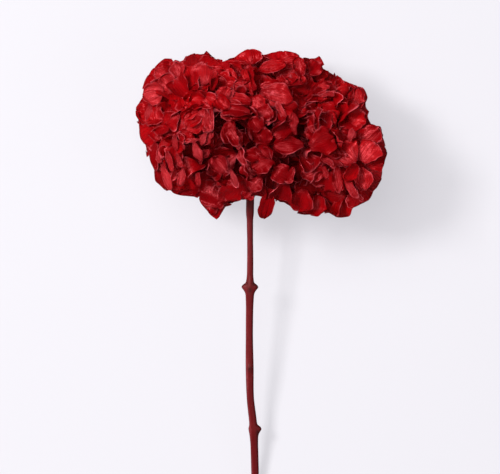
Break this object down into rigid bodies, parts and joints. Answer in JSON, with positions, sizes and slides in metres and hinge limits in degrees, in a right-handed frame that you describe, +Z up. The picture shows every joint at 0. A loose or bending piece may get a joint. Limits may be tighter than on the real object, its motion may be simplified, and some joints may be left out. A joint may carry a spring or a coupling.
{
  "type": "preserved hydrangea",
  "caption": "Single cut hydrangea, preserved and dyed deep red: one dense mophead of four-sepalled florets on a bare woody stem, lying on its side.",
  "frame": {"origin": "on the surface that the flower lies on, at the flat resting spot straight below the middle of the head", "axes": "+Z up from the surface; +Y from the stem towards the top of the head; +X to the right as seen from above with the head at the top"},
  "size_m": [0.1817, 0.3344, 0.1401],
  "materials": {
    "stem_bark": "dyed woody bark, dull",
    "sepals": "glycerine-preserved dyed sepals, soft and slightly silky"
  },
  "bodies": {
    "root": {"stem": "stem_bark", "flower_head": "sepals"}
  },
  "joints": []
}
